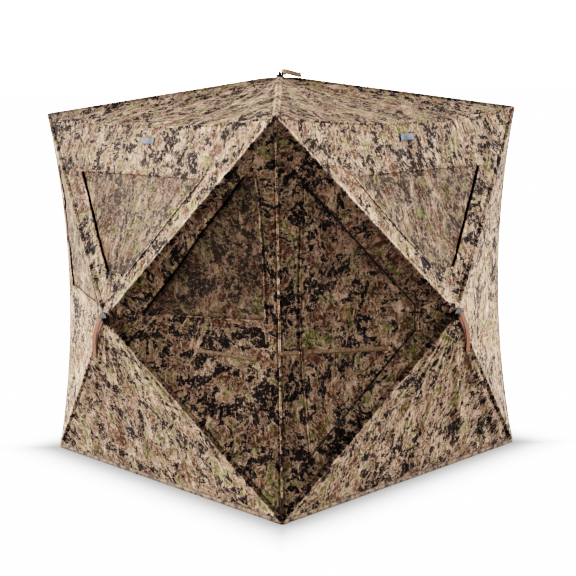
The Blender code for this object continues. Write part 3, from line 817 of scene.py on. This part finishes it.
class MakeDoor(bpy.types.Operator):
    """The zipped door, its zip and the slider on it"""

    bl_idname = "blind.door"
    bl_label = "Door and zip"

    def execute(self, context):
        m, c, t = materials(), context.scene.blind_cloth, context.scene.blind_trim
        panel = PANELS["right"]
        bm = flat_facet(panel, "left", 84, 60)
        cut(bm, grown(DOOR, (-0.001, -0.001, -0.001, -0.0005)), keep=True)
        area = raise_cloth(bm, panel, "left", -0.0002, c.ripple)
        door = new_piece("door_cloth", bm, (m["camo"], m["back"]), "door_flap")
        thicken(door, c.thickness, inner=True)
        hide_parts("door_flap")
        area = round(area * SEWN_IN, 3)
        half = t.zip_width / 2
        outer = grown(DOOR, (half * 1.5, half * 1.5, half * 1.5, half))
        inner = grown(DOOR, (0.0005, 0.0005, 0.0005, 0.0))
        edge_run("door_zip_tape", panel, "left", outer, inner, 0.0018, m["zip"], False, 0.0022, 60)
        outer, inner = ([(u, v) for v in (-0.490, 0.535)] for u in (-0.609, -0.602))
        edge_run("door_hinge_seam", panel, "left", outer, inner, 0.0016, m["camo_tape"], False)
        self.slider(m)
        return {"FINISHED"}

    def slider(self, m):
        """A small metal slider with a bridge and a drop pull, on the upper zip."""
        low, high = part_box("door_slider")
        centre = (low + high) / 2
        panel = PANELS["right"]
        a, b = panel.lift("left", DOOR[2][0], DOOR[2][1]), panel.lift("left", DOOR[3][0], DOOR[3][1])
        along = (b - a).normalized()
        level = panel.lift("left", -0.45, 0.0) - panel.lift("left", -0.25, 0.0)
        up = level.cross(Vector((0, 0, 1))).normalized()
        if up.dot(panel.out) < 0:
            up = -up
        side = up.cross(along).normalized()
        turn = Matrix((along, side, along.cross(side))).transposed().to_4x4()
        bm = bmesh.new()
        body, bridge, pull = (0.026, 0.009, 0.0030), (0.012, 0.0035, 0.0022), (0.024, 0.006, 0.0014)
        places = ((0, 0, -0.0006), (0.002, 0, 0.0026), (-0.008, 0, 0.0042))
        for size, shift in zip((body, bridge, pull), places):
            got = bmesh.ops.create_cube(bm, size=1.0)["verts"]
            bmesh.ops.scale(bm, vec=size, verts=got)
            bmesh.ops.translate(bm, vec=shift, verts=got)
        bmesh.ops.bevel(bm, geom=bm.edges[:], offset=0.0005, affect="EDGES", segments=2, profile=0.5)
        bmesh.ops.transform(bm, matrix=Matrix.Translation(centre) @ turn, verts=bm.verts)
        bmesh.ops.recalc_face_normals(bm, faces=bm.faces)
        obj = new_piece("zip_slider", bm, [m["metal"]], "door_slider")
        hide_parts("door_slider")


class MakeSeams(bpy.types.Operator):
    """The tape over each pole, the corner and eave seams and the two raised bands"""

    bl_idname = "blind.seams"
    bl_label = "Seams"

    def execute(self, context):
        m, t = materials(), context.scene.blind_trim
        for name, panel in PANELS.items():
            for side, e in (("right", 1), ("top", -1), ("left", -1), ("bottom", 1)):
                self.pole_seam(panel, side, e, t.seam_width / 2, m["camo"])
        for turn in range(4):
            self.corner_seam(turn, m["camo"])
            self.eave_seam(turn, m["camo"])
        self.band("front", "right", (0.356, -0.103), (0.602, -0.119), m["band"])
        self.band("right", "left", (-0.697, -0.092), (-0.609, -0.094), m["band"])
        self.band("right", "left", (-0.600, -0.095), (-0.267, -0.112), m["band"], "door_flap")
        self.slit(m["zip"])
        return {"FINISHED"}

    def pole_seam(self, panel, side, e, half, finish):
        """Tape along one ridge, from near the hub to the corner."""
        corner = panel.edge(side, e)
        ridge = Vector((corner.x, corner.y)).normalized()
        cross = Vector((-ridge.y, ridge.x))
        far = math.hypot(corner.x, corner.y)
        other = {"right": "top", "top": "left", "left": "bottom", "bottom": "right"}[side]

        def place(f, q):
            along = SEAM_FROM + (far * 0.995 - SEAM_FROM) * f
            u, v = ridge.x * along + cross.x * half * q, ridge.y * along + cross.y * half * q
            on = side
            if abs(panel.where(side, u, v)[0]) > 1.0:
                on = other
            raised = 0.0046 * (1 - q * q) ** 2 * smooth(along, 0.015, 0.09)
            return panel.lift(on, u, v, 0.0004 + raised)

        obj = ribbon(f"{panel.name}_{side}_pole_seam", 90, 8, place, far, [finish], on=panel)
        facet_blend(obj, panel, side)

    def corner_seam(self, turn, finish):
        """The upright seam that joins two walls."""
        spin = Matrix.Rotation(math.pi / 2 * turn, 4, "Z")

        def place(f, q):
            z = FOOT + 0.004 + (CORNER_Z - FOOT - 0.008) * f
            half = half_side(z)
            reach = 0.0062 * q
            out = 0.0010 + 0.0011 * (1 - abs(q))
            return spin @ Vector((half - max(reach, 0) + out, -half + max(-reach, 0) - out, z))

        name, on = f"corner_seam_{turn + 1}", PANELS["front"]
        obj = ribbon(name, 80, 8, place, CORNER_Z, [finish], "shelter", on=on)

    def eave_seam(self, turn, finish):
        """The seam that joins a wall to the roof."""
        spin = Matrix.Rotation(math.pi / 2 * turn, 4, "Z")

        def place(f, q):
            x = (2 * f - 1) * (TOP_HALF - 0.002)
            z = eave_height(x)
            down, back = max(-q, 0) * 0.0045, max(q, 0) * 0.0045
            bead = 0.0012 + 0.0020 * (1 - abs(q))
            y = -TOP_HALF - bead * 0.8 + back - down * 0.25
            return spin @ Vector((x, y, z + bead - down + back * 0.22))

        name, on = f"eave_seam_{turn + 1}", PANELS["roof"]
        obj = ribbon(name, 80, 8, place, 2 * TOP_HALF, [finish], "shelter", on=on)

    def band(self, name, side, start, end, finish, ride=None):
        """A flat fold of cloth sewn down beside the near corner; its pale tan colour is a painted highlight
        along the raised fold of printed cloth.
        """
        panel = PANELS[name]
        a, b = Vector(start), Vector(end)
        over = Vector((-(b - a).y, (b - a).x)).normalized() * 0.0085

        def place(f, q):
            at = a.lerp(b, f) + over * q
            ends = min(1, 8 * f, 8 * (1 - f) + 0.4)
            return panel.lift(side, at.x, at.y, 0.0012 + 0.0038 * (1 - q * q) * ends)

        name = f"{name}_{'door' if ride else 'wall'}_seam_band"
        obj = ribbon(name, 40, 8, place, (b - a).length, [finish], ride, on=panel)
        if not ride:
            facet_blend(obj, panel, side)

    def slit(self, finish):
        """The dark end of the zip, beside the door's nose."""
        panel = PANELS["right"]

        def place(f, q):
            half = 0.0035 * math.sin(math.pi * min(1, 0.1 + f))
            u, v = -0.187 + 0.077 * f, 0.022 - 0.006 * f + half * q
            return panel.lift("left", u, v, 0.0012 + 0.0012 * (1 - q * q))

        obj = ribbon("zip_end", 24, 6, place, 0.077, [finish], on=panel)
        facet_blend(obj, panel, "left")


class MakeEdges(bpy.types.Operator):
    """The rolled tape along the ground, the corner boots, the roof corner patches and the labels"""

    bl_idname = "blind.edges"
    bl_label = "Hem, corners and labels"

    def execute(self, context):
        m = materials()
        self.hem(m["hem"])
        for turn in range(4):
            self.boot(turn, m["boot"])
            self.cap(turn, m["boot"])
        for name, u in (("front", 0.0115), ("right", -0.020)):
            self.label(name, u, m["label"])
        return {"FINISHED"}

    def hem(self, finish):
        """One closed roll of tape round the foot of the walls."""
        half = BASE_HALF
        round_off = 0.012
        side = 2 * half
        total = 4 * side

        def path(d):
            k, x = divmod(d % total, side)
            x -= half
            k = int(k) % 4
            ease = max(0.0, abs(x) - (half - round_off)) / round_off
            back = round_off * 0.42 * ease * ease
            wobble = 0.0012 * noise.noise(Vector((x * 9, k * 5.0, 3.0)))
            spin = Matrix.Rotation(math.pi / 2 * k, 4, "Z")
            return spin @ Vector((x, -half + back + wobble, 0)), spin @ Vector((0, -1, 0))

        def place(f, q):
            centre, out = path(f * total)
            turn = math.pi * q
            lump = 1 + 0.10 * noise.noise(Vector((f * 260, 0.5, 4.0)))
            up = Vector((0, 0, 0.0112 + 0.0108 * math.sin(turn) * lump))
            return centre + out * (0.0062 * math.cos(turn) * lump) + up

        obj = ribbon("ground_hem_roll", 640, 14, place, total, [finish], "shelter", thickness=0, closed=True)
        bm = bmesh.new()
        bm.from_mesh(obj.data)
        bmesh.ops.recalc_face_normals(bm, faces=bm.faces)
        bm.to_mesh(obj.data)
        bm.free()
        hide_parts("ground_hem")

    def boot(self, turn, finish):
        """A dark patch that wraps the foot of a corner."""
        spin = Matrix.Rotation(math.pi / 2 * turn, 4, "Z")

        def place(f, q):
            z = 0.026 + 0.075 * f
            half = half_side(z) + 0.0022
            reach = abs(q) * 0.050 * (1 - 0.35 * f)
            slope = 0.05 * reach
            point = Vector((half + slope, -half, z)) if q > 0 else Vector((half, -half - slope, z))
            point += Vector((0, reach, 0)) if q > 0 else Vector((-reach, 0, 0))
            return spin @ point

        obj = ribbon(f"corner_boot_{turn + 1}", 16, 24, place, 0.075, [finish], "shelter")

    def cap(self, turn, finish):
        """A rounded reinforcing patch over a roof corner."""
        spin = Matrix.Rotation(math.pi / 2 * turn, 4, "Z")
        roof = PANELS["roof"]

        def place(f, q):
            along, over = 0.062 * f, 0.5 * (q + 1)
            u, v = along * (1 - over), along * over
            x, y = TOP_HALF - u * 1.2, -TOP_HALF + v * 1.2
            n = roof.lift("right" if abs(x) > abs(y) else "bottom", x, y).z
            return spin @ Vector((x + 0.001, y - 0.001, n + 0.0028))

        obj = ribbon(f"roof_corner_patch_{turn + 1}", 14, 14, place, 0.062, [finish], "shelter", on=roof)

    def label(self, name, u, finish):
        """A plain woven label under the eave."""
        panel = PANELS[name]

        def place(f, q):
            raised = 0.0024 + 0.0006 * (1 - q * q)
            return panel.lift("top", u + 0.0375 * (2 * f - 1), 0.688 + 0.0125 * q, raised)

        obj = ribbon(f"{name}_label", 20, 8, place, 0.075, [finish])
        facet_blend(obj, panel, "top")


class MakeHubs(bpy.types.Operator):
    """The finish of the hubs and poles, and the hub patches"""

    bl_idname = "blind.hubs"
    bl_label = "Hubs and poles"

    def execute(self, context):
        m = materials()
        for name, panel in PANELS.items():
            self.repaint(f"{name}_hub", m["plastic"])
            for key in ("bl", "br", "tr", "tl"):
                self.repaint(f"{name}_pole_{key}", m["rod"])
            self.patch(panel, m)
        return {"FINISHED"}

    def repaint(self, node, finish):
        """Gives a carried-over node its finish."""
        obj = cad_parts[node]
        if not obj.material_slots:
            obj.data.materials.append(finish)
        for slot in obj.material_slots:
            slot.material = finish

    def patch(self, panel, m):
        """A stitched reinforcing patch under the hub's cap."""

        def place(f, q):
            turn = math.pi * q
            r = 0.017 + 0.027 * f
            corner = 1 + 0.035 * math.cos(4 * turn)
            u, v = r * math.cos(turn) * corner, r * math.sin(turn) * corner
            n = panel.apex - r * 0.31 + 0.0035
            return panel.point(u, v, n)

        name, hub, finish = f"{panel.name}_hub_patch", f"{panel.name}_hub", [m["camo_tape"]]
        obj = ribbon(name, 10, 48, place, 0.027, finish, hub, closed=True, on=panel)


class MakeStraps(bpy.types.Operator):
    """The webbing pull loop on each hub"""

    bl_idname = "blind.straps"
    bl_label = "Pull straps"

    def execute(self, context):
        m, t = materials(), context.scene.blind_trim
        for name, panel in PANELS.items():
            length = t.roof_strap if panel.roof else t.wall_strap
            self.loop(panel, length, t.strap_width / 2, m["roof_strap" if panel.roof else "strap"])
        return {"FINISHED"}

    def loop(self, panel, length, half, finish):
        """Webbing passed round the hub's bar and brought together, a little narrower at its end."""
        if panel.roof:
            flat = Vector((math.sqrt(0.5), math.sqrt(0.5), 0))
            down = flat * math.cos(ROOF_STRAP_TILT) + panel.out * math.sin(ROOF_STRAP_TILT)
        else:
            down = -panel.up * math.cos(WALL_STRAP_TILT) + panel.out * math.sin(WALL_STRAP_TILT)
        bar = panel.point(0, 0, panel.apex + BAR_OUT)
        side = panel.out.cross(down).normalized()
        out = down.cross(side).normalized()
        if out.dot(panel.out) < 0:
            out, side = -out, -side
        open_by = 0.0052

        def place(f, q):
            # the loop runs from its lower end up the back, over the bar, and down the front
            x = 2 * f - 1
            run = abs(x)
            d = length * max(run - BAR_HALF_TURN, 0.0) / (1 - BAR_HALF_TURN)
            share = min(d / length, 1.0)
            # the roof strap rolls on to its edge, so its face shows from the ground
            roll = math.radians(60) * smooth(d, 0.0, 0.022) if panel.roof else 0.0
            face = out * math.cos(roll) - side * math.sin(roll)
            over = side * math.cos(roll) + out * math.sin(roll)
            if panel.roof:
                gap = open_by * (1 - smooth(d, 0.002, 0.030)) + 0.0011
                bow = 0.005 * math.sin(math.pi * share ** 0.6) - 0.021 * smooth(share, 0.05, 1.05)
            else:
                gap = open_by * (1 - smooth(d, 0.010, length * 0.5)) + 0.0011
                gap += 0.0042 * math.sin(math.pi * share)
                bow = 0.010 * math.sin(math.pi * share) - 0.010 * smooth(share, 0.35, 1.05)
            if run < BAR_HALF_TURN:
                turn = math.pi / 2 * x / BAR_HALF_TURN
                centre = bar + out * (math.sin(turn) * (open_by + 0.0011))
                centre -= down * (math.cos(turn) * (open_by + 0.0005))
            else:
                centre = bar + down * d + face * (gap if x > 0 else -gap)
            width = half * (1 - 0.05 * smooth(share, 0.93, 1.0))
            return centre + out * bow + over * (width * q)

        name, body = f"{panel.name}_pull_strap", f"{panel.name}_strap"
        obj = ribbon(name, 120, 8, place, 2 * length, [finish], body, thickness=0.0016)
        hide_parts(f"{panel.name}_strap")


class MakeStage(bpy.types.Operator):
    """The pale floor, the soft lights and the camera"""

    bl_idname = "blind.stage"
    bl_label = "Stage"

    def execute(self, context):
        s = context.scene.blind_stage
        bm = bmesh.new()
        bmesh.ops.create_grid(bm, x_segments=8, y_segments=8, size=300.0)
        n = Nodes("pale_floor")
        cloud = n.noise(n.object(), 1.5, 3.0)
        tone = n.mix(n.step(cloud, 0.3, 0.7), list(s.floor), [x * 0.985 for x in s.floor])
        # the floor looks lit from below to the camera, without lighting the blind
        seen = n.node("ShaderNodeLightPath").outputs["Is Camera Ray"]
        parts = n.node("ShaderNodeSeparateXYZ", None, Vector=n.object())
        # painted contact shadow: the floor's glow fades out near the blind's foot, so the floor shows darker
        # round and under it
        away = n.math("MAXIMUM", n.math("ABSOLUTE", parts.outputs[0]), n.math("ABSOLUTE", parts.outputs[1]))
        glow = n.math("POWER", n.step(away, 0.66, 1.02, 0.42, 1.0), 5.0)
        glow = n.math("MULTIPLY", glow, n.step(seen, 0.0, 1.0, 0.0, s.floor_glow))
        n.put(n.shader.inputs["Emission Strength"], glow)
        finish = n.finish(tone, 0.9, Specular_IOR_Level=0.1, Emission_Color=(1, 1, 1, 1))
        floor = new_piece("floor", bm, [finish])
        self.room(s.sky)
        self.light("left_soft_light", (-0.90, -0.42, 0.12), s.left_light)
        self.light("right_soft_light", (0.39, 0.90, 0.12), s.right_light)
        view = context.scene.view_settings
        view.view_transform, view.look, view.exposure = "Filmic", "High Contrast", 0.5
        self.camera()
        return {"FINISHED"}

    def room(self, fill):
        """A dim even room with a white backdrop."""
        world = bpy.data.worlds.new("soft_room")
        world.use_nodes = True
        tree = world.node_tree
        back = tree.nodes["Background"]
        back.inputs[0].default_value = (1, 1, 1, 1)
        seen = tree.nodes.new("ShaderNodeLightPath")
        level = tree.nodes.new("ShaderNodeMapRange")
        level.inputs["To Min"].default_value = fill
        level.inputs["To Max"].default_value = 20.0
        tree.links.new(seen.outputs["Is Camera Ray"], level.inputs["Value"])
        tree.links.new(level.outputs[0], back.inputs[1])
        bpy.context.scene.world = world

    def light(self, name, towards, strength):
        """A very soft distant light that shines from a direction."""
        data = bpy.data.lights.new(name, "SUN")
        data.angle = math.radians(50)
        data.energy = strength
        obj = bpy.data.objects.new(name, data)
        obj.rotation_euler = Vector(towards).to_track_quat("Z", "Y").to_euler()
        bpy.context.scene.collection.objects.link(obj)

    def camera(self):
        """The camera in front of the near corner, a little above the roof."""
        yaw, pitch, roll = math.radians(45.84), math.radians(9.47), math.radians(-0.905)
        right = Vector((math.cos(yaw), math.sin(yaw), 0))
        back = Vector((math.sin(yaw) * math.cos(pitch), -math.cos(yaw) * math.cos(pitch), math.sin(pitch)))
        up = back.cross(right)
        tilted = math.cos(roll) * right + math.sin(roll) * up
        upright = -math.sin(roll) * right + math.cos(roll) * up
        data = bpy.data.cameras.new("camera")
        data.lens = 76.34
        data.sensor_width = 36.0
        obj = bpy.data.objects.new("camera", data)
        turn = Matrix((tilted, upright, back)).transposed().to_4x4()
        obj.matrix_world = Matrix.Translation((3.906, -3.764, 1.635)) @ turn
        bpy.context.scene.collection.objects.link(obj)
        bpy.context.scene.camera = obj


class BlindPanel(bpy.types.Panel):
    """Lists the blind's pieces and settings in the 3D view's sidebar"""

    bl_idname = "VIEW3D_PT_ground_blind"
    bl_label = "Ground Blind"
    bl_space_type = "VIEW_3D"
    bl_region_type = "UI"
    bl_category = "Ground Blind"

    def draw(self, context):
        for group in (context.scene.blind_cloth, context.scene.blind_trim, context.scene.blind_stage):
            box = self.layout.box()
            for key in group.__annotations__:
                box.prop(group, key)
        for operator in OPERATORS:
            self.layout.operator(operator.bl_idname)


OPERATORS = (MakeCloth, MakeWindows, MakeDoor, MakeSeams, MakeEdges, MakeHubs, MakeStraps, MakeStage)
GROUPS = {"blind_cloth": BlindCloth, "blind_trim": BlindTrim, "blind_stage": BlindStage}


def register():
    for name, group in GROUPS.items():
        bpy.utils.register_class(group)
        setattr(bpy.types.Scene, name, bpy.props.PointerProperty(type=group))
    for cls in (*OPERATORS, BlindPanel):
        bpy.utils.register_class(cls)


def unregister():
    for cls in reversed((*OPERATORS, BlindPanel)):
        bpy.utils.unregister_class(cls)
    for name, group in GROUPS.items():
        delattr(bpy.types.Scene, name)
        bpy.utils.unregister_class(group)


def main():
    register()
    bpy.ops.blind.cloth()
    bpy.ops.blind.windows()
    bpy.ops.blind.door()
    bpy.ops.blind.seams()
    bpy.ops.blind.edges()
    bpy.ops.blind.hubs()
    bpy.ops.blind.straps()
    bpy.ops.blind.stage()


if __name__ == "__main__":
    main()
